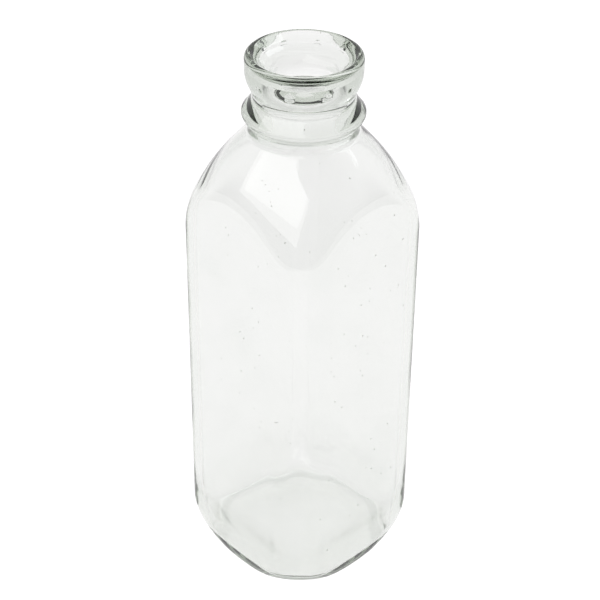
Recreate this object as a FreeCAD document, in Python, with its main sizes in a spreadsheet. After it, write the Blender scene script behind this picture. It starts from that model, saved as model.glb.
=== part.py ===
import FreeCAD, Part
import math
import os

import Sketcher
from FreeCAD import Vector

# A square milk bottle blown from one gob of clear glass, open at the mouth.
# It stands on z = 0 with its axis on +Z and its four flat panels facing +X, -X, +Y and -Y.

doc = FreeCAD.newDocument("milk_bottle")

# Driving dimensions in millimetres and degrees

SIZES = {
    "height": 245.0,
    "panel_width": 80.0,
    "corner_diameter": 97.8,
    "panel_edge_radius": 10.0,
    "wall": 3.7,
    "push_up": 2.0,
    "foot_inner_radius": 26.0,
    "foot_outer_radius": 35.9,
    "heel_lower_radius": 8.0,
    "heel_angle": 53.1,
    "heel_upper_radius": 26.0,
    "floor_height": 5.0,
    "floor_corner_radius": 13.0,
    "shoulder_height": 168.0,
    "shoulder_round": 27.0,
    "dome_radius": 200.0,
    "neck_root_radius": 5.0,
    "neck_root_height": 212.8,
    "lower_neck_radius": 22.8,
    "collar_bottom": 215.2,
    "collar_middle": 220.4,
    "collar_top": 225.0,
    "collar_radius": 25.2,
    "neck_radius": 20.8,
    "lip_bottom": 229.0,
    "lip_radius": 23.9,
    "lip_round": 2.0,
    "throat_radius": 15.2,
    "throat_bottom": 220.0,
    "throat_root_radius": 12.0,
    "seat_bottom": 237.9,
    "seat_round": 3.4,
    "mouth_radius": 21.2,
    "nub_height": 236.6,
    "nub_seat_radius": 22.9,
    "nub_length": 3.6,
    "nub_breadth": 4.6,
    "nub_depth": 3.0,
    "nub_angle_1": -91.0,
    "nub_angle_2": -57.5,
    "nub_angle_3": -21.5,
    "nub_angle_4": 6.0,
    "mould_halves": 2.0,
}

# Steepest and gentlest tilt tried for a shoulder, in tenths of a degree

TILTS = range(150, 500)

# How close to a panel's plane an edge has to lie, and how many points along it are tried

ON_PANEL = 1e-3
TRIED_POINTS = 5

# Most of a turned solid that may be left once its panels are cut

MOST_LEFT = 0.98

sheet = doc.addObject("Spreadsheet::Sheet", "Sizes")
for row, (alias, value) in enumerate(SIZES.items(), start=1):
    sheet.set("A%d" % row, alias)
    sheet.set("B%d" % row, str(value))
    sheet.setAlias("B%d" % row, alias)
doc.recompute()


def size(alias):
    """Read one driving dimension from the sheet."""
    return float(getattr(sheet, alias))


def origin_feature(body, role):
    """Find an origin plane or axis of a body by its role."""
    return next(item for item in body.Origin.OriginFeatures if item.Role == role)


def new_sketch(body, name, plane_role):
    """Add an empty sketch on one of the body's origin planes."""
    sketch = body.newObject("Sketcher::SketchObject", name)
    sketch.AttachmentSupport = [(origin_feature(body, plane_role), "")]
    sketch.MapMode = "FlatFace"
    return sketch


class Outline:
    """A half section drawn edge by edge: sketch x is the radius, sketch y the height."""

    def __init__(self, body, name, start):
        self.sketch = new_sketch(body, name, "XZ_Plane")
        self.last = Vector(start[0], start[1], 0)
        self.edges = []

    def line_to(self, radius, height):
        """Draw a straight edge to a point and return its number."""
        end = Vector(radius, height, 0)
        return self._add(Part.LineSegment(self.last, end), end)

    def arc_to(self, radius, height, arc_radius, bulge):
        """Draw an arc to a point. A bulge of 1 bows it to the right of its travel, -1 to the left."""
        end = Vector(radius, height, 0)
        chord = end - self.last
        half = chord.Length / 2
        sagitta = arc_radius - math.sqrt(max(arc_radius ** 2 - half ** 2, 0.0))
        right = Vector(chord.y, -chord.x, 0).normalize()
        middle = self.last + chord * 0.5 + right * (sagitta * bulge)
        return self._add(Part.Arc(self.last, middle, end), end)

    def _add(self, curve, end):
        number = self.sketch.addGeometry(curve, False)
        self.edges.append((number, self.last, end))
        self.last = end
        return number

    def vertex(self, edge, point):
        """Say which end of an edge lies at a point: 1 for its start, 2 for its end."""
        gaps = [(self.sketch.getPoint(edge, place) - point).Length for place in (1, 2)]
        return 1 if gaps[0] < gaps[1] else 2

    def join(self, smooth):
        """Join each edge to the next, and the last to the first: tangent where it is in smooth."""
        for index, (edge, _, end) in enumerate(self.edges):
            following = self.edges[(index + 1) % len(self.edges)][0]
            kind = "Tangent" if edge in smooth else "Coincident"
            places = (self.vertex(edge, end), self.vertex(following, end))
            self.sketch.addConstraint(Sketcher.Constraint(kind, edge, places[0], following, places[1]))

    def bind(self, kind, arguments, value, expression):
        """Add one dimension and bind it to the sheet."""
        number = self.sketch.addConstraint(Sketcher.Constraint(kind, *arguments, value))
        self.sketch.setExpression("Constraints[%d]" % number, expression)

    def end_radius(self, edge, expression):
        """Fix how far the end of an edge lies from the bottle's axis."""
        end = self._end(edge)
        self.bind("DistanceX", (-1, 1, edge, self.vertex(edge, end)), end.x, expression)

    def end_height(self, edge, expression):
        """Fix how high the end of an edge lies."""
        end = self._end(edge)
        self.bind("DistanceY", (-1, 1, edge, self.vertex(edge, end)), end.y, expression)

    def arc_radius(self, edge, expression):
        """Fix the radius of an arc."""
        self.bind("Radius", (edge,), self.sketch.Geometry[edge].Radius, expression)

    def slope(self, edge, angle, expression):
        """Fix how steeply a straight edge rises."""
        self.bind("Angle", (edge,), math.radians(angle), expression)

    def level_centre(self, edge, point_edge):
        """Put an arc's centre level with the end of another edge, where both then run upright."""
        end = self._end(point_edge)
        place = self.vertex(point_edge, end)
        self.sketch.addConstraint(Sketcher.Constraint("Horizontal", edge, 3, point_edge, place))

    def upright(self, edge):
        """Keep a straight edge parallel to the axis."""
        self.sketch.addConstraint(Sketcher.Constraint("Vertical", edge))

    def level(self, edge):
        """Keep a straight edge square to the axis."""
        self.sketch.addConstraint(Sketcher.Constraint("Horizontal", edge))

    def on_axis(self, edge, place):
        """Keep a point of an edge on the axis: 1 its start, 2 its end, 3 its centre."""
        self.sketch.addConstraint(Sketcher.Constraint("PointOnObject", edge, place, -2))

    def _end(self, edge):
        return next(end for number, _, end in self.edges if number == edge)

    def revolve(self, body, name):
        """Turn the closed outline about the axis into a solid."""
        solid = body.newObject("PartDesign::Revolution", name)
        solid.Profile = self.sketch
        solid.ReferenceAxis = (self.sketch, ["V_Axis"])
        solid.Angle = 360
        doc.recompute()
        return solid


def eased_radius(across, along):
    """Find the radius of an arc that starts parallel to its run and leaves it by a distance across."""
    return (across ** 2 + along ** 2) / (2 * across)


def shoulder_points(body_radius, round_radius, dome_radius, root_radius, neck_radius, root_height):
    """Find where a shoulder's tangent arcs meet, trying tilts until the neck starts at its height."""
    best = None
    for step in TILTS:
        tilt = math.radians(step / 10)
        lower_x = body_radius - round_radius * (1 - math.cos(tilt))
        lower_y = size("shoulder_height") + round_radius * math.sin(tilt)
        centre_x = lower_x - dome_radius * math.cos(tilt)
        centre_y = lower_y - dome_radius * math.sin(tilt)
        reach = dome_radius + root_radius
        across = neck_radius + root_radius - centre_x
        up = math.sqrt(max(reach ** 2 - across ** 2, 0.0))
        miss = abs(centre_y + up - root_height)
        if best is None or miss < best[0]:
            share = dome_radius / reach
            best = (miss, (lower_x, lower_y), (centre_x + across * share, centre_y + up * share))
    return best[1], best[2]


def four_flats(body, name, width_expression, start_width):
    """Cut a turned solid back to four flat panels."""
    sketch = new_sketch(body, name + "_square", "XY_Plane")
    reach = size("corner_diameter")
    for number, half in enumerate((reach, start_width / 2)):
        first = 4 * number
        corners = [Vector(x * half, y * half, 0) for x, y in ((-1, -1), (1, -1), (1, 1), (-1, 1))]
        for index in range(4):
            sketch.addGeometry(Part.LineSegment(corners[index], corners[(index + 1) % 4]), False)
        for index in range(4):
            following = first + (index + 1) % 4
            sketch.addConstraint(Sketcher.Constraint("Coincident", first + index, 2, following, 1))
            kind = "Horizontal" if index % 2 == 0 else "Vertical"
            sketch.addConstraint(Sketcher.Constraint(kind, first + index))
        sketch.addConstraint(Sketcher.Constraint("Symmetric", first, 1, first + 1, 2, -1, 1))
        side = "2 * Sizes.corner_diameter" if number == 0 else width_expression
        for edge, axis in ((first, "DistanceX"), (first + 1, "DistanceY")):
            constraint = sketch.addConstraint(Sketcher.Constraint(axis, edge, 1, edge, 2, 2 * half))
            sketch.setExpression("Constraints[%d]" % constraint, side)
    cut = body.newObject("PartDesign::Pocket", name)
    cut.Profile = sketch
    cut.Type = "ThroughAll"
    cut.Midplane = True
    doc.recompute()
    return cut


def soften_flats(body, name, cut, width, radius_expression):
    """Round every edge where a flat panel meets the turned surface."""
    half = width / 2
    names = []
    for index, edge in enumerate(cut.Shape.Edges, start=1):
        span = edge.LastParameter - edge.FirstParameter
        shares = [step / (TRIED_POINTS - 1) for step in range(TRIED_POINTS)]
        points = [edge.valueAt(edge.FirstParameter + span * share) for share in shares]
        on_x = all(abs(abs(point.x) - half) < ON_PANEL for point in points)
        on_y = all(abs(abs(point.y) - half) < ON_PANEL for point in points)
        if on_x or on_y:
            names.append("Edge%d" % index)
    rounding = body.newObject("PartDesign::Fillet", name)
    rounding.Base = (cut, names)
    rounding.setExpression("Radius", radius_expression)
    doc.recompute()


# Outside of the glass: foot, heel, body, shoulder, lower neck, collar, neck and lip

outside = doc.addObject("PartDesign::Body", "outside")
body_radius = size("corner_diameter") / 2
heel_tilt = math.radians(size("heel_angle"))
slope_start = (
    size("foot_outer_radius") + size("heel_lower_radius") * math.sin(heel_tilt),
    size("heel_lower_radius") * (1 - math.cos(heel_tilt)))
slope_end_radius = body_radius - size("heel_upper_radius") * (1 - math.sin(heel_tilt))
slope_end = (
    slope_end_radius,
    slope_start[1] + (slope_end_radius - slope_start[0]) * math.tan(heel_tilt))
side_start = slope_end[1] + size("heel_upper_radius") * math.cos(heel_tilt)
lip_edge_start = size("height") - size("lip_round")
lower, upper = shoulder_points(
    body_radius, size("shoulder_round"), size("dome_radius"),
    size("neck_root_radius"), size("lower_neck_radius"), size("neck_root_height"))

outer = Outline(outside, "outer_profile", (0, size("push_up")))
push_up = outer.arc_to(
    size("foot_inner_radius"), 0, eased_radius(size("push_up"), size("foot_inner_radius")), -1)
foot = outer.line_to(size("foot_outer_radius"), 0)
heel_low = outer.arc_to(slope_start[0], slope_start[1], size("heel_lower_radius"), 1)
heel_slope = outer.line_to(slope_end[0], slope_end[1])
heel_high = outer.arc_to(body_radius, side_start, size("heel_upper_radius"), 1)
side = outer.line_to(body_radius, size("shoulder_height"))
shoulder = outer.arc_to(lower[0], lower[1], size("shoulder_round"), 1)
dome = outer.arc_to(upper[0], upper[1], size("dome_radius"), 1)
neck_root = outer.arc_to(
    size("lower_neck_radius"), size("neck_root_height"), size("neck_root_radius"), -1)
lower_neck = outer.line_to(size("lower_neck_radius"), size("collar_bottom"))
collar_rise = size("collar_middle") - size("collar_bottom")
collar_low = outer.arc_to(
    size("collar_radius"), size("collar_middle"),
    eased_radius(size("collar_radius") - size("lower_neck_radius"), collar_rise), 1)
collar_high = outer.arc_to(
    size("neck_radius"), size("collar_top"),
    eased_radius(size("collar_radius") - size("neck_radius"), size("collar_top") - size("collar_middle")), 1)
neck = outer.line_to(size("neck_radius"), size("lip_bottom"))
lip_side = outer.arc_to(
    size("lip_radius"), lip_edge_start,
    eased_radius(size("lip_radius") - size("neck_radius"), lip_edge_start - size("lip_bottom")), 1)
lip_edge = outer.arc_to(size("lip_radius") - size("lip_round"), size("height"), size("lip_round"), 1)
lip_top = outer.line_to(0, size("height"))
axis = outer.line_to(0, size("push_up"))

outer.join({foot, heel_low, heel_slope, heel_high, side, shoulder, dome, neck_root, lip_edge})
for edge in (side, lower_neck, neck, axis):
    outer.upright(edge)
for edge in (foot, lip_top):
    outer.level(edge)
outer.on_axis(lip_top, 2)
outer.on_axis(push_up, 3)
outer.end_height(axis, "Sizes.push_up")
outer.end_radius(push_up, "Sizes.foot_inner_radius")
outer.sketch.addConstraint(Sketcher.Constraint("PointOnObject", foot, 1, -1))
outer.end_radius(foot, "Sizes.foot_outer_radius")
outer.arc_radius(heel_low, "Sizes.heel_lower_radius")
outer.slope(heel_slope, size("heel_angle"), "Sizes.heel_angle * 1 deg")
outer.arc_radius(heel_high, "Sizes.heel_upper_radius")
outer.end_radius(side, "Sizes.corner_diameter / 2")
outer.end_height(side, "Sizes.shoulder_height")
outer.arc_radius(shoulder, "Sizes.shoulder_round")
outer.arc_radius(dome, "Sizes.dome_radius")
outer.arc_radius(neck_root, "Sizes.neck_root_radius")
outer.end_radius(lower_neck, "Sizes.lower_neck_radius")
outer.end_height(neck_root, "Sizes.neck_root_height")
outer.end_height(lower_neck, "Sizes.collar_bottom")
outer.end_radius(collar_low, "Sizes.collar_radius")
outer.end_height(collar_low, "Sizes.collar_middle")
outer.level_centre(collar_low, collar_low)
outer.level_centre(collar_high, collar_low)
outer.end_radius(neck, "Sizes.neck_radius")
outer.end_height(collar_high, "Sizes.collar_top")
outer.end_height(neck, "Sizes.lip_bottom")
outer.end_radius(lip_side, "Sizes.lip_radius")
outer.end_height(lip_side, "Sizes.height - Sizes.lip_round")
outer.level_centre(lip_side, lip_side)
outer.level_centre(lip_edge, lip_side)
outer.end_height(lip_edge, "Sizes.height")

turned = outer.revolve(outside, "turned_outside")
panels = four_flats(outside, "panels", "Sizes.panel_width", size("panel_width"))
soften_flats(outside, "softened_panels", panels, size("panel_width"), "Sizes.panel_edge_radius")

# Small raised nubs around the lip, four on each half of the mould

for number in range(1, 5):
    angle = "Sizes.nub_angle_%d" % number
    nub = outside.newObject("PartDesign::AdditiveEllipsoid", "nub_%d" % number)
    nub.setExpression("Radius1", "Sizes.nub_length / 2")
    nub.setExpression("Radius2", "Sizes.nub_depth / 2")
    nub.setExpression("Radius3", "Sizes.nub_breadth / 2")
    nub.setExpression("AttachmentOffset.Base.x", "Sizes.nub_seat_radius * cos(%s * 1 deg)" % angle)
    nub.setExpression("AttachmentOffset.Base.y", "Sizes.nub_seat_radius * sin(%s * 1 deg)" % angle)
    nub.setExpression("AttachmentOffset.Base.z", "Sizes.nub_height")
    nub.setExpression("AttachmentOffset.Rotation.Angle", "%s * 1 deg" % angle)
    nub.AttachmentSupport = [(origin_feature(outside, "XY_Plane"), "")]
    nub.MapMode = "FlatFace"
    doc.recompute()
    pair = outside.newObject("PartDesign::PolarPattern", "nub_pair_%d" % number)
    pair.Originals = [nub]
    pair.Axis = (origin_feature(outside, "Z_Axis"), [""])
    pair.Angle = 360
    pair.setExpression("Occurrences", "Sizes.mould_halves")
    outside.Tip = pair
    doc.recompute()

# Hollow of the bottle: floor, inner wall, inner shoulder, throat, seat and the flared mouth

hollow = doc.addObject("PartDesign::Body", "hollow")
inner_radius = body_radius - size("wall")
above = size("height") + size("lip_round")
flare_run = size("mouth_radius") - size("throat_radius") - size("seat_round")
flare_rise = size("height") - size("seat_bottom")
flare_reach = math.hypot(flare_rise, flare_run)
flare_tilt = math.atan2(flare_rise, flare_run) - math.asin(size("seat_round") / flare_reach)
seat_end = (
    size("throat_radius") + size("seat_round") * (1 - math.sin(flare_tilt)),
    size("seat_bottom") + size("seat_round") * math.cos(flare_tilt))
floor_radius = inner_radius - size("floor_corner_radius")
lower, upper = shoulder_points(
    inner_radius, size("shoulder_round") - size("wall"), size("dome_radius") - size("wall"),
    size("throat_root_radius"), size("throat_radius"), size("throat_bottom"))

inner = Outline(hollow, "inner_profile", (0, size("floor_height")))
floor = inner.line_to(floor_radius, size("floor_height"))
corner_height = size("floor_height") + size("floor_corner_radius")
floor_corner = inner.arc_to(inner_radius, corner_height, size("floor_corner_radius"), 1)
inner_side = inner.line_to(inner_radius, size("shoulder_height"))
inner_shoulder = inner.arc_to(lower[0], lower[1], size("shoulder_round") - size("wall"), 1)
inner_dome = inner.arc_to(upper[0], upper[1], size("dome_radius") - size("wall"), 1)
throat_root = inner.arc_to(size("throat_radius"), size("throat_bottom"), size("throat_root_radius"), -1)
throat = inner.line_to(size("throat_radius"), size("seat_bottom"))
seat = inner.arc_to(seat_end[0], seat_end[1], size("seat_round"), -1)
flare = inner.line_to(size("mouth_radius"), size("height"))
mouth = inner.line_to(size("mouth_radius"), above)
cover = inner.line_to(0, above)
inner_axis = inner.line_to(0, size("floor_height"))

inner.join({floor, floor_corner, inner_side, inner_shoulder, inner_dome, throat_root, throat, seat})
for edge in (inner_side, throat, mouth, inner_axis):
    inner.upright(edge)
for edge in (floor, cover):
    inner.level(edge)
inner.on_axis(cover, 2)
inner.end_height(inner_axis, "Sizes.floor_height")
inner.arc_radius(floor_corner, "Sizes.floor_corner_radius")
inner.end_radius(inner_side, "Sizes.corner_diameter / 2 - Sizes.wall")
inner.end_height(inner_side, "Sizes.shoulder_height")
inner.arc_radius(inner_shoulder, "Sizes.shoulder_round - Sizes.wall")
inner.arc_radius(inner_dome, "Sizes.dome_radius - Sizes.wall")
inner.arc_radius(throat_root, "Sizes.throat_root_radius")
inner.end_radius(throat, "Sizes.throat_radius")
inner.end_height(throat_root, "Sizes.throat_bottom")
inner.end_height(throat, "Sizes.seat_bottom")
inner.arc_radius(seat, "Sizes.seat_round")
inner.end_radius(flare, "Sizes.mouth_radius")
inner.end_height(flare, "Sizes.height")
inner.end_height(mouth, "Sizes.height + Sizes.lip_round")

inner_turned = inner.revolve(hollow, "turned_hollow")
inner_width = size("panel_width") - 2 * size("wall")
inner_panels = four_flats(hollow, "inner_panels", "Sizes.panel_width - 2 * Sizes.wall", inner_width)
soften_flats(hollow, "softened_hollow", inner_panels, inner_width, "Sizes.panel_edge_radius - Sizes.wall")

# The glass itself

bottle = doc.addObject("Part::Cut", "bottle")
bottle.Label = "glass_bottle"
bottle.Base = outside
bottle.Tool = hollow
doc.recompute()

# Nothing is written unless every step rebuilt soundly

for item in doc.Objects:
    if "Invalid" in item.State or "Error" in item.State:
        raise RuntimeError("%s did not rebuild: %s" % (item.Name, item.State))
for before, after in ((turned, panels), (inner_turned, inner_panels)):
    if after.Shape.Volume > MOST_LEFT * before.Shape.Volume:
        raise RuntimeError("%s cut nothing" % after.Name)
for profile in (outer, inner):
    print(profile.sketch.Name, "fully fixed:", profile.sketch.FullyConstrained)

os.makedirs("parts", exist_ok=True)
for item in (bottle,):
    shape = item.Shape
    if shape.isNull() or not shape.isValid() or len(shape.Solids) != 1:
        raise RuntimeError("%s has no sound solid" % item.Label)
    shape.exportStep("parts/%s.step" % item.Label)
    print(item.Label, "glass volume", round(shape.Volume / 1000, 1), "ml")
spare = math.pi * size("mouth_radius") ** 2 * (above - size("height"))
print("brimful", round((hollow.Shape.Volume - spare) / 1000, 1), "ml")
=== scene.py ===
"""Looks of a square milk bottle: moulded clear glass, a white table, soft studio lamps and the camera."""

import logging
import math
from contextlib import contextmanager
from dataclasses import dataclass
from enum import Enum
from typing import Callable, Iterator

import bpy
from mathutils import Matrix, Vector, noise


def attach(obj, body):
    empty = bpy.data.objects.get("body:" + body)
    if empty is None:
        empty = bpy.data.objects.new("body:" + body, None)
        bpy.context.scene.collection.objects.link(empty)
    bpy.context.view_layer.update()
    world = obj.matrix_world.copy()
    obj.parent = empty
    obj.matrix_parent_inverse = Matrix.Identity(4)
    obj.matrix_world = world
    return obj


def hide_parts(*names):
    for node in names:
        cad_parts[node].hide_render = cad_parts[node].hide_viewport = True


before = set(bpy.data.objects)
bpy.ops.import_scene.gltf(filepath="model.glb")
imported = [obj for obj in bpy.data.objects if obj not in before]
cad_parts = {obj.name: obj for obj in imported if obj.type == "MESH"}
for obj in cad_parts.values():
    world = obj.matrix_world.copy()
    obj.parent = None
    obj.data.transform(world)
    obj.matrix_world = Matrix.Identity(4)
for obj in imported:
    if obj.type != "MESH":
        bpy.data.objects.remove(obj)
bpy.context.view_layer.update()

Colour = tuple[float, float, float, float]
Span = tuple[float, float]
Tree = bpy.types.NodeTree
Socket = bpy.types.NodeSocket
Feed = float | tuple[float, ...] | Vector | Socket

MM = 0.001
NODE = "glass_bottle"
BODY = "root"
WELD = 0.004 * MM
HAZE = "handling_haze"
WHITE: Colour = (1.0, 1.0, 1.0, 1.0)
MIX_COLOURS = slice(6, 8)
MIX_RESULT = 2

log = logging.getLogger("milk_bottle")


class Wall(Enum):
    """The two sides of the glass."""

    OUTER = "outer_wall"
    INNER = "inner_wall"


def deselect_all() -> None:
    """Leave no object selected, so that an operator acts on one piece alone."""
    bpy.ops.object.select_all(action="DESELECT")


@contextmanager
def edit_mode(piece: bpy.types.Object) -> Iterator[None]:
    """Open one piece in edit mode for the length of a with block.

    Args:
        piece: The mesh object to work on.
    """
    deselect_all()
    piece.select_set(True)
    bpy.context.view_layer.objects.active = piece
    bpy.ops.object.mode_set(mode="EDIT")
    yield
    bpy.ops.object.mode_set(mode="OBJECT")


def select_vertices(piece: bpy.types.Object, wanted: Callable[[Vector], bool]) -> None:
    """Select the vertices of a piece that pass a test, and no others.

    Args:
        piece: The mesh object, in object mode.
        wanted: Takes a vertex's place and says whether to select it.
    """
    with edit_mode(piece):
        bpy.ops.mesh.select_mode(type="VERT")
        bpy.ops.mesh.select_all(action="DESELECT")
    for vertex in piece.data.vertices:
        vertex.select = wanted(vertex.co)


def direction(azimuth: float, elevation: float = 0.0) -> Vector:
    """Give the direction from the bottle to what stands around it.

    Args:
        azimuth: The turn about the bottle's axis, from -Y towards +X, in radians.
        elevation: The angle above the table, in radians.
    Returns:
        A vector of length 1.
    """
    return Vector((
        math.sin(azimuth) * math.cos(elevation),
        -math.cos(azimuth) * math.cos(elevation),
        math.sin(elevation),
    ))


def empty_tree(owner: bpy.types.Material) -> Tree:
    """Turn on a material's nodes and clear them away.

    Args:
        owner: The material.
    Returns:
        Its nodes, with none left in them.
    """
    owner.use_nodes = True
    owner.node_tree.nodes.clear()
    return owner.node_tree


def feed(tree: Tree, socket: Socket, source: Feed) -> None:
    """Give a socket its value.

    Args:
        tree: The nodes that it belongs to.
        socket: The socket to fill.
        source: A plain value, or the socket that the value comes from.
    """
    if isinstance(source, Socket):
        tree.links.new(source, socket)
    else:
        socket.default_value = source


def number_sum(tree: Tree, operation: str, *sources: Feed) -> Socket:
    """Add one sum on numbers.

    Args:
        tree: The nodes to add it to.
        operation: The sum's name.
        sources: What goes into it, in order.
    Returns:
        The socket of the result.
    """
    node = tree.nodes.new("ShaderNodeMath")
    node.operation = operation
    for socket, source in zip(node.inputs, sources):
        feed(tree, socket, source)
    return node.outputs["Value"]


def vector_sum(tree: Tree, operation: str, *sources: Feed, result: str = "Vector") -> Socket:
    """Add one sum on vectors.

    Args:
        tree: The nodes to add it to.
        operation: The sum's name.
        sources: What goes into it, in order.
        result: Vector, or Value where the sum gives a number.
    Returns:
        The socket of the result.
    """
    node = tree.nodes.new("ShaderNodeVectorMath")
    node.operation = operation
    for socket, source in zip(node.inputs, sources):
        feed(tree, socket, source)
    return node.outputs[result]


def fade(tree: Tree, value: Socket, edge: Span, levels: Span) -> Socket:
    """Pass softly from one level to another.

    Args:
        tree: The nodes to add the change to.
        value: The socket that the change follows.
        edge: The values at which the change starts and ends.
        levels: The level before the change and the level after it.
    Returns:
        The socket of the level.
    """
    node = tree.nodes.new("ShaderNodeMapRange")
    node.interpolation_type = "SMOOTHSTEP"
    node.inputs["From Min"].default_value, node.inputs["From Max"].default_value = edge
    node.inputs["To Min"].default_value, node.inputs["To Max"].default_value = levels
    tree.links.new(value, node.inputs["Value"])
    return node.outputs["Result"]


def mixed_colours(tree: Tree, share: Socket, first: Feed, second: Feed) -> Socket:
    """Mix two colours by a mask.

    Args:
        tree: The nodes to add the mix to.
        share: The mask's socket, 0 for the first colour and 1 for the second.
        first: A colour, or the socket that it comes from.
        second: The other one.
    Returns:
        The socket of the mixed colour.
    """
    node = tree.nodes.new("ShaderNodeMix")
    node.data_type = "RGBA"
    tree.links.new(share, node.inputs[0])
    for socket, source in zip(node.inputs[MIX_COLOURS], (first, second)):
        feed(tree, socket, source)
    return node.outputs[MIX_RESULT]


def joined_shaders(tree: Tree, kind: str, *sources: Socket) -> Socket:
    """Mix or add two shaders.

    Args:
        tree: The nodes to add it to.
        kind: The type of the node that joins them.
        sources: The sockets that it takes, in order.
    Returns:
        The socket of the joined shader.
    """
    node = tree.nodes.new(kind)
    for socket, source in zip(node.inputs, sources):
        tree.links.new(source, socket)
    return node.outputs["Shader"]


@dataclass(frozen=True)
class Turn:
    """A corner of a half section, in millimetres: where two runs would meet, and what rounds it."""

    radius: float
    height: float
    rounding: float = 0.0

    def place(self) -> Vector:
        """Give the corner's place on the XZ plane."""
        return Vector((self.radius, 0.0, self.height))


@dataclass(frozen=True)
class HalfSection:
    """The outline of a turned wall, from one end to the other, as corners that are rounded off."""

    turns: tuple[Turn, ...]
    longest_step: float = 2.2
    widest_turn: float = math.radians(7.0)

    def points(self) -> list[Vector]:
        """Round the corners and divide the runs.

        Returns:
            Points along the outline in millimetres, close enough together to look smooth.
        """
        chain = [self.turns[0].place()]
        for before, turn, after in zip(self.turns, self.turns[1:], self.turns[2:]):
            for point in self.rounded(before.place(), turn, after.place()):
                self.run_to(chain, point)
        self.run_to(chain, self.turns[-1].place())
        return chain

    def rounded(self, before: Vector, turn: Turn, after: Vector) -> list[Vector]:
        """Replace one corner by points on its arc.

        Args:
            before: The corner before it.
            turn: The corner itself.
            after: The corner after it.
        Returns:
            The arc's points, both ends included.
        """
        corner = turn.place()
        arriving = (corner - before).normalized()
        leaving = (after - corner).normalized()
        angle = arriving.angle(leaving)
        if turn.rounding == 0.0 or angle == 0.0:
            return [corner]
        reach = turn.rounding * math.tan(angle / 2)
        inward = (leaving - arriving).normalized()
        centre = corner + inward * (turn.rounding / math.cos(angle / 2))
        first = corner - arriving * reach - centre
        count = math.ceil(max(angle / self.widest_turn, angle * turn.rounding / self.longest_step))
        axis = arriving.cross(leaving).normalized()
        return [centre + Matrix.Rotation(angle * step / count, 3, axis) @ first for step in range(count + 1)]

    def run_to(self, chain: list[Vector], end: Vector) -> None:
        """Carry the chain on to a point, in even steps.

        Args:
            chain: The points so far; the new ones are added to it.
            end: The point to reach.
        """
        start = chain[-1]
        gap = (end - start).length
        if gap < WELD / MM:
            return
        count = math.ceil(gap / self.longest_step)
        chain.extend(start.lerp(end, step / count) for step in range(1, count + 1))

    def spin(self, name: str, around: int) -> bpy.types.Object:
        """Draw the outline vertex by vertex and spin it about the bottle's axis.

        Args:
            name: The new object's name.
            around: How many steps the spin takes.
        Returns:
            The turned sheet, in metres.
        """
        points = [point * MM for point in self.points()]
        deselect_all()
        bpy.ops.mesh.primitive_plane_add(size=MM)
        sheet = bpy.context.active_object
        sheet.name = name
        with edit_mode(sheet):
            bpy.ops.mesh.select_all(action="SELECT")
            bpy.ops.mesh.merge(type="CENTER")
            bpy.ops.transform.translate(value=points[0])
            for start, end in zip(points, points[1:]):
                bpy.ops.mesh.extrude_vertices_move(TRANSFORM_OT_translate={"value": end - start})
            bpy.ops.mesh.select_all(action="SELECT")
            bpy.ops.mesh.spin(steps=around, angle=math.tau, center=(0, 0, 0), axis=(0, 0, 1))
            bpy.ops.mesh.select_all(action="SELECT")
            bpy.ops.mesh.remove_doubles(threshold=WELD)
            bpy.ops.mesh.normals_make_consistent(inside=False)
        return sheet


def soft_limit(value: float, limit: float, softness: float) -> float:
    """Hold a distance to a limit, with an eased change from one to the other.

    Args:
        value: The distance, which may be negative.
        limit: The most that it may be.
        softness: How far each side of the limit the easing reaches.
    Returns:
        The distance as held, with its sign.
    """
    size = abs(value)
    near = max(softness - abs(size - limit), 0.0)
    held = min(size, limit) - near * near / (4 * softness)
    return math.copysign(held, value)


@dataclass(frozen=True)
class Panels:
    """Four flat panels pressed into a turned wall, in millimetres, which draw in towards the foot."""

    half_width: float
    softness: float
    foot_height: float
    heel_height: float
    heel_inset: float

    def heel_share(self, height: float) -> float:
        """Say how much of the heel's inset there is at a height: all at the foot, none above the heel."""
        return max(1.0 - (height - self.foot_height) / self.heel_height, 0.0) ** 2

    def press(self, sheet: bpy.types.Object) -> None:
        """Press the panels into a sheet, with eased edges.

        Args:
            sheet: The turned wall, in metres.
        """
        for vertex in sheet.data.vertices:
            limit = self.half_width - self.heel_inset * self.heel_share(vertex.co.z / MM)
            for axis in (0, 1):
                vertex.co[axis] = soft_limit(vertex.co[axis], limit * MM, self.softness * MM)


@dataclass(frozen=True)
class Nubs:
    """Small low bumps around the lip that a cap grips, in millimetres, alike on each half of the mould."""

    height: float
    half_width: float
    half_height: float
    proud: float
    half_angles: tuple[float, ...]
    mould_halves: tuple[float, ...] = (0.0, 180.0)
    margin: float = 1.6
    cuts: int = 3

    def angles(self) -> list[float]:
        """Give each nub's direction from the axis in degrees, one half of the mould after the other."""
        return [angle + turn for turn in self.mould_halves for angle in self.half_angles]

    def spread(self, place: Vector, angle: float) -> float:
        """Say how far a point lies from the middle of a nub, where 1 is the nub's edge.

        Args:
            place: The point on the lip, in metres.
            angle: The nub's direction from the axis, in degrees.
        Returns:
            The distance, measured around the lip and up it.
        """
        turned = math.atan2(place.y, place.x) - math.radians(angle)
        around = math.remainder(turned, math.tau) * place.xy.length / MM
        return math.hypot(around / self.half_width, (place.z / MM - self.height) / self.half_height)

    def raise_on(self, sheet: bpy.types.Object) -> None:
        """Divide the faces around each nub and push them out into a soft bump.

        Args:
            sheet: The outer wall, in metres.
        """
        for angle in self.angles():
            select_vertices(sheet, lambda place, at=angle: self.spread(place, at) < self.margin)
            with edit_mode(sheet):
                bpy.ops.mesh.subdivide(number_cuts=self.cuts)
            for vertex in sheet.data.vertices:
                crown = max(1.0 - self.spread(vertex.co, angle) ** 2, 0.0) ** 2
                outwards = Vector((vertex.co.x, vertex.co.y, 0.0)).normalized()
                vertex.co += outwards * (self.proud * MM * crown)


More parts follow.
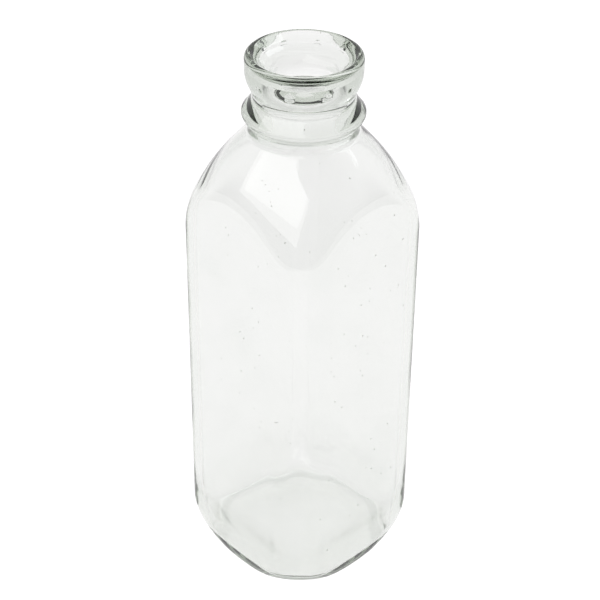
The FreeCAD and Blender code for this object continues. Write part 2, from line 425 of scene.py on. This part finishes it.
@dataclass(frozen=True)
class Ripple:
    """The slight unevenness that blowing leaves on the inner wall, in millimetres."""

    depth: float = 0.22
    length: float = 24.0
    top: float = 236.0
    fade: float = 8.0

    def press(self, sheet: bpy.types.Object) -> None:
        """Move a sheet in and out by the unevenness, which fades away below the mouth.

        Args:
            sheet: The inner wall, in metres.
        """
        outwards = [vertex.normal.copy() for vertex in sheet.data.vertices]
        for vertex, normal in zip(sheet.data.vertices, outwards):
            share = min(max((self.top - vertex.co.z / MM) / self.fade, 0.0), 1.0)
            wave = noise.noise(vertex.co / (self.length * MM))
            vertex.co += normal * (wave * share * self.depth * MM)


@dataclass(frozen=True)
class Handling:
    """The faint haze that washing and handling leave on the glass, in patches of a size in millimetres."""

    patch: float = 38.0
    start: float = 0.05
    full: float = 0.45
    smoothness: float = 1.0
    finer: float = 2.0
    layers: int = 4

    def breathe_on(self, piece: bpy.types.Object) -> None:
        """Lay the haze on a piece as a value from 0 to 1 at each vertex.

        Args:
            piece: The glass, in metres.
        """
        haze = piece.data.attributes.new(HAZE, "FLOAT", "POINT")
        for vertex, value in zip(piece.data.vertices, haze.data):
            cloud = noise.fractal(vertex.co / (self.patch * MM), self.smoothness, self.finer, self.layers)
            value.value = min(max((cloud - self.start) / (self.full - self.start), 0.0), 1.0)


@dataclass(frozen=True)
class ClearGlass:
    """Clear bottle glass with a faint green cast, seen best where the glass is thick."""

    ior: float = 1.52
    cast: Colour = (0.10, 0.22, 0.04, 1.0)
    cast_density: float = 18.0
    lamp_tint: Colour = (0.94, 0.95, 0.94, 1.0)
    haze_colour: Colour = (0.985, 0.987, 0.985, 1.0)
    speck_colour: Colour = (0.4, 0.41, 0.37, 1.0)
    speck_spacing: float = 4.0 * MM
    speck_share: float = 0.05
    speck_radius: float = 0.5 * MM
    speck_core: float = 0.6
    speck_roughness: float = 0.3
    scuff_top: Span = (0.4 * MM, 0.8 * MM)
    scuff_ring: Span = (33.0 * MM, 34.0 * MM)
    scuff_roughness: float = 0.7

    def specks(self, tree: Tree, place: Socket) -> Socket:
        """Scatter specks: small balls, each somewhere in its own cell, of which few are filled.

        Args:
            tree: The material's nodes.
            place: The coordinates' socket.
        Returns:
            The mask's socket.
        """
        cells_per_metre = 1.0 / self.speck_spacing
        in_cells = vector_sum(tree, "MULTIPLY", place, (cells_per_metre, cells_per_metre, cells_per_metre))
        chance = tree.nodes.new("ShaderNodeTexWhiteNoise")
        tree.links.new(vector_sum(tree, "FLOOR", in_cells), chance.inputs["Vector"])
        within = vector_sum(tree, "FRACTION", in_cells)
        away = vector_sum(tree, "DISTANCE", within, chance.outputs["Color"], result="Value")
        reach = self.speck_radius / self.speck_spacing
        ball = fade(tree, away, (reach * self.speck_core, reach), (1.0, 0.0))
        filled = number_sum(tree, "LESS_THAN", chance.outputs["Value"], self.speck_share)
        return number_sum(tree, "MULTIPLY", ball, filled)

    def scuffs(self, tree: Tree, place: Socket) -> Socket:
        """Mark the outer ring of the foot, which standing and sliding have dulled.

        Args:
            tree: The material's nodes.
            place: The coordinates' socket.
        Returns:
            The mask's socket.
        """
        parts = tree.nodes.new("ShaderNodeSeparateXYZ")
        tree.links.new(place, parts.inputs["Vector"])
        low = fade(tree, parts.outputs["Z"], self.scuff_top, (1.0, 0.0))
        from_middle = vector_sum(tree, "LENGTH", place, result="Value")
        outer = fade(tree, from_middle, self.scuff_ring, (0.0, 1.0))
        return number_sum(tree, "MULTIPLY", low, outer)

    def wear(self, tree: Tree, glass: bpy.types.Node) -> None:
        """Put specks, handling haze and the foot's scuffs on the surface.

        Args:
            tree: The material's nodes.
            glass: The shader that the marks feed.
        """
        place = tree.nodes.new("ShaderNodeTexCoord").outputs["Object"]
        specks = self.specks(tree, place)
        handled = tree.nodes.new("ShaderNodeAttribute")
        handled.attribute_name = HAZE
        hazy = mixed_colours(tree, handled.outputs["Fac"], WHITE, self.haze_colour)
        tree.links.new(mixed_colours(tree, specks, hazy, self.speck_colour), glass.inputs["Base Color"])
        rough_specks = number_sum(tree, "MULTIPLY", specks, self.speck_roughness)
        rough_foot = number_sum(tree, "MULTIPLY", self.scuffs(tree, place), self.scuff_roughness)
        tree.links.new(number_sum(tree, "MAXIMUM", rough_foot, rough_specks), glass.inputs["Roughness"])

    def material(self) -> bpy.types.Material:
        """Build the finish.

        Returns:
            The material, which lets lamps and diffuse light through to the table.
        """
        made = bpy.data.materials.new("clear_bottle_glass")
        tree = empty_tree(made)
        glass = tree.nodes.new("ShaderNodeBsdfPrincipled")
        glass.inputs["IOR"].default_value = self.ior
        glass.inputs["Transmission Weight"].default_value = 1.0
        self.wear(tree, glass)
        inside = tree.nodes.new("ShaderNodeVolumeAbsorption")
        inside.inputs["Color"].default_value = self.cast
        inside.inputs["Density"].default_value = self.cast_density
        clear = tree.nodes.new("ShaderNodeBsdfTransparent")
        clear.inputs["Color"].default_value = self.lamp_tint
        surface = glass.outputs["BSDF"]
        path = tree.nodes.new("ShaderNodeLightPath")
        for passing in ("Is Shadow Ray", "Is Diffuse Ray"):
            rays = path.outputs[passing]
            surface = joined_shaders(tree, "ShaderNodeMixShader", rays, surface, clear.outputs["BSDF"])
        output = tree.nodes.new("ShaderNodeOutputMaterial")
        tree.links.new(surface, output.inputs["Surface"])
        tree.links.new(inside.outputs["Volume"], output.inputs["Volume"])
        return made


@dataclass(frozen=True)
class Bottle:
    """The bottle, blown in one piece. Sizes are in millimetres, and heights are from the table."""

    around: int = 192
    outside: HalfSection = HalfSection((
        Turn(0.0, 2.0),
        Turn(26.0, 0.0, 3.0),
        Turn(38.4, 0.0, 5.0),
        Turn(48.9, 14.0, 26.0),
        Turn(48.9, 174.5, 30.0),
        Turn(37.2, 196.1, 120.0),
        Turn(22.6, 211.8, 4.5),
        Turn(22.6, 215.4, 1.5),
        Turn(25.2, 219.0, 2.4),
        Turn(25.2, 220.5, 1.6),
        Turn(20.8, 226.0, 3.6),
        Turn(20.8, 229.0, 6.0),
        Turn(23.9, 234.8, 15.0),
        Turn(23.9, 245.0, 2.0),
        Turn(21.6, 245.0),
    ))
    inside: HalfSection = HalfSection((
        Turn(21.6, 245.0),
        Turn(21.2, 245.0, 0.8),
        Turn(17.7, 242.2, 0.4),
        Turn(17.6, 241.2, 0.4),
        Turn(15.7, 239.6, 0.8),
        Turn(14.9, 237.0, 1.0),
        Turn(17.0, 213.5, 6.0),
        Turn(33.5, 195.4, 90.0),
        Turn(45.2, 173.6, 26.0),
        Turn(45.2, 26.0, 40.0),
        Turn(42.0, 6.4, 9.0),
        Turn(33.0, 4.6, 1.5),
        Turn(0.0, 5.0),
    ))
    outer_panels: Panels = Panels(
        half_width=40.0, softness=3.2, foot_height=0.0, heel_height=20.0, heel_inset=3.2,
    )
    inner_panels: Panels = Panels(
        half_width=36.3, softness=3.2, foot_height=5.0, heel_height=36.0, heel_inset=3.0,
    )
    nubs: Nubs = Nubs(
        height=236.6, half_width=2.3, half_height=1.8, proud=0.7, half_angles=(-91.0, -57.5, -21.5, 6.0),
    )
    ripple: Ripple = Ripple()
    handling: Handling = Handling()

    def build(self) -> bpy.types.Object:
        """Model both sides of the glass and join them into one closed shell.

        Returns:
            The finished piece, before it gets its finish.
        """
        outside = self.outside.spin(Wall.OUTER.value, self.around)
        self.outer_panels.press(outside)
        self.nubs.raise_on(outside)
        inside = self.inside.spin(Wall.INNER.value, self.around)
        self.inner_panels.press(inside)
        self.ripple.press(inside)
        deselect_all()
        inside.select_set(True)
        outside.select_set(True)
        bpy.context.view_layer.objects.active = outside
        bpy.ops.object.join()
        outside.name = "bottle_glass"
        with edit_mode(outside):
            bpy.ops.mesh.select_all(action="SELECT")
            bpy.ops.mesh.remove_doubles(threshold=WELD)
            bpy.ops.mesh.normals_make_consistent(inside=False)
        bpy.ops.object.shade_smooth()
        self.handling.breathe_on(outside)
        return outside

    def dress(self, piece: bpy.types.Object, finish: ClearGlass) -> None:
        """Give the piece its finish and its place in the frame.

        Args:
            piece: The finished mesh.
            finish: The glass that it is made of.
        """
        piece.data.materials.clear()
        piece.data.materials.append(finish.material())
        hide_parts(NODE)
        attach(piece, BODY)
        log.info("%s: %d faces", piece.name, len(piece.data.polygons))


@dataclass(frozen=True)
class Table:
    """A wide white table that the bottle stands on, which fills the view behind it. Sizes are in metres."""

    size: float = 3.0
    drop: float = 0.1 * MM
    colour: Colour = (0.35, 0.35, 0.35, 1.0)
    glow_colour: Colour = (1.0, 0.98, 0.995, 1.0)
    glow_direct: float = 0.9
    glow_in_glass: float = 0.75

    def build(self) -> bpy.types.Object:
        """Make the table, which shows white to the camera and through the glass, and keeps a shadow.

        Returns:
            The floor object.
        """
        deselect_all()
        bpy.ops.mesh.primitive_plane_add(size=self.size, location=(0.0, 0.0, 0.0))
        floor = bpy.context.active_object
        floor.name = "white_table"
        with edit_mode(floor):
            bpy.ops.mesh.select_all(action="SELECT")
            bpy.ops.transform.translate(value=(0.0, 0.0, -self.drop))
        floor.data.materials.append(self.material())
        log.info("%s: %.1f m square", floor.name, self.size)
        return floor

    def material(self) -> bpy.types.Material:
        """Add a glow, which the camera, reflections and refractions see, to a lit surface.

        Returns:
            The table top's material.
        """
        made = bpy.data.materials.new("white_table_top")
        tree = empty_tree(made)
        lit = tree.nodes.new("ShaderNodeBsdfDiffuse")
        lit.inputs["Color"].default_value = self.colour
        glow = tree.nodes.new("ShaderNodeEmission")
        glow.inputs["Color"].default_value = self.glow_colour
        path = tree.nodes.new("ShaderNodeLightPath").outputs
        in_glass = number_sum(tree, "MAXIMUM", path["Is Glossy Ray"], path["Is Transmission Ray"])
        through = number_sum(tree, "MULTIPLY", in_glass, self.glow_in_glass)
        strength = number_sum(tree, "MULTIPLY_ADD", path["Is Camera Ray"], self.glow_direct, through)
        tree.links.new(strength, glow.inputs["Strength"])
        both = joined_shaders(tree, "ShaderNodeAddShader", lit.outputs["BSDF"], glow.outputs["Emission"])
        output = tree.nodes.new("ShaderNodeOutputMaterial")
        tree.links.new(both, output.inputs["Surface"])
        return made


@dataclass(frozen=True)
class PhotoCamera:
    """The photograph's camera: where it stands around the bottle, and where the axis falls in the frame."""

    azimuth: float = math.radians(46.0)
    elevation: float = math.radians(34.32)
    roll: float = math.radians(0.646)
    distance: float = 723.4 * MM
    nearest: float = 10.0 * MM
    focal_pixels: float = 1669.8
    frame_pixels: float = 600.0
    shift_pixels: Span = (1.47, 10.83)
    sensor_mm: float = 36.0
    target: Vector = Vector((0.0, 0.0, 122.5 * MM))

    def axes(self) -> Matrix:
        """Turn the camera to the bottle, then by its roll and by the frame's shift.

        Returns:
            The camera's right, up and back directions, as the columns of a matrix.
        """
        turn = Matrix.Rotation(self.azimuth, 3, "Z") @ Matrix.Rotation(math.pi / 2 - self.elevation, 3, "X")
        across, down = self.shift_pixels
        rolled = turn @ Matrix.Rotation(self.roll, 3, "Z")
        tilt = Matrix.Rotation(math.atan2(down, self.focal_pixels), 3, "X")
        pan = Matrix.Rotation(math.atan2(across, self.focal_pixels), 3, "Y")
        return rolled @ tilt @ pan

    def build(self) -> bpy.types.Object:
        """Place the camera and make it the scene's own.

        Returns:
            The camera object.
        """
        deselect_all()
        back = direction(self.azimuth, self.elevation)
        bpy.ops.object.camera_add(location=self.target + back * self.distance)
        camera = bpy.context.active_object
        camera.name = "photo_camera"
        camera.rotation_euler = self.axes().to_euler()
        camera.data.sensor_width = self.sensor_mm
        camera.data.lens = self.focal_pixels * self.sensor_mm / self.frame_pixels
        camera.data.clip_start = self.nearest
        bpy.context.scene.camera = camera
        return camera


@dataclass(frozen=True)
class SoftLamp:
    """A rectangular soft lamp around the bottle, placed by the angles it is seen at from there."""

    name: str
    beside: float
    elevation: float
    distance: float
    width: float
    height: float
    brightness: float
    colour: tuple[float, float, float]

    def build(self, camera_azimuth: float, aim: Vector) -> bpy.types.Object:
        """Place the lamp and point it at the bottle.

        Args:
            camera_azimuth: Where the camera stands. The lamp's angle is counted from there, to the right.
            aim: The point that the lamp faces.
        Returns:
            The lamp object.
        """
        deselect_all()
        towards = direction(camera_azimuth + self.beside, self.elevation)
        bpy.ops.object.light_add(type="AREA", location=aim + towards * self.distance)
        lamp = bpy.context.active_object
        lamp.name = self.name
        lamp.rotation_euler = towards.to_track_quat("Z", "Y").to_euler()
        lamp.data.shape = "RECTANGLE"
        lamp.data.size = self.width
        lamp.data.size_y = self.height
        lamp.data.color = self.colour
        lamp.data.energy = self.brightness * math.pi * self.width * self.height
        return lamp


@dataclass(frozen=True)
class Studio:
    """The soft lamps, and the room around them: pale beyond the bottle, with dark flags at its sides."""

    behind_bottle: float = 0.9
    behind_camera: float = 0.18
    edge_of_light: Span = (-0.45, 0.45)
    beside_bottle: float = 0.02
    edge_of_flags: Span = (0.85, 1.0)
    glass_bounces: int = 200
    aim: Vector = Vector((0.0, 0.0, 120.0 * MM))
    lamps: tuple[SoftLamp, ...] = (
        SoftLamp(
            name="window_lamp", beside=math.radians(-47), elevation=math.radians(47), distance=1.2,
            width=1.8, height=0.6, brightness=1.5, colour=(1.0, 1.0, 1.0),
        ),
        SoftLamp(
            name="fill_lamp", beside=math.radians(120), elevation=math.radians(50), distance=1.4,
            width=0.9, height=0.9, brightness=2.0, colour=(0.93, 0.97, 1.0),
        ),
    )

    def build(self, camera_azimuth: float) -> None:
        """Light the table.

        Args:
            camera_azimuth: Where the camera stands.
        """
        scene = bpy.context.scene
        scene.world = self.room(camera_azimuth)
        for lamp in self.lamps:
            lamp.build(camera_azimuth, self.aim)
        scene.view_settings.view_transform = "Standard"
        scene.cycles.max_bounces = self.glass_bounces
        scene.cycles.glossy_bounces = self.glass_bounces
        scene.cycles.transmission_bounces = self.glass_bounces

    def room(self, camera_azimuth: float) -> bpy.types.World:
        """Make the room, of which the camera itself sees only white.

        Args:
            camera_azimuth: Where the camera stands.
        Returns:
            The world.
        """
        world = bpy.data.worlds.new("studio_room")
        world.use_nodes = True
        tree = world.node_tree
        background = tree.nodes["Background"]
        background.inputs["Color"].default_value = WHITE
        looking = tree.nodes.new("ShaderNodeTexCoord").outputs["Generated"]
        away = direction(camera_azimuth + math.pi)
        across = direction(camera_azimuth + math.pi / 2)
        ahead = vector_sum(tree, "DOT_PRODUCT", looking, away, result="Value")
        aside = vector_sum(tree, "DOT_PRODUCT", looking, across, result="Value")
        pale = fade(tree, ahead, self.edge_of_light, (self.behind_camera, self.behind_bottle))
        to_side = number_sum(tree, "ABSOLUTE", aside)
        flags = fade(tree, to_side, self.edge_of_flags, (1.0, self.beside_bottle))
        shown = number_sum(tree, "MULTIPLY", pale, flags)
        to_camera = tree.nodes.new("ShaderNodeLightPath").outputs["Is Camera Ray"]
        tree.links.new(number_sum(tree, "MAXIMUM", shown, to_camera), background.inputs["Strength"])
        return world


def main() -> None:
    """Build the bottle, its table, the camera and the lamps, in that order."""
    logging.basicConfig(level=logging.INFO, format="%(name)s: %(message)s")
    bottle = Bottle()
    glass = bottle.build()
    bottle.dress(glass, ClearGlass())
    Table().build()
    camera = PhotoCamera()
    camera.build()
    Studio().build(camera.azimuth)


if __name__ == "__main__":
    main()
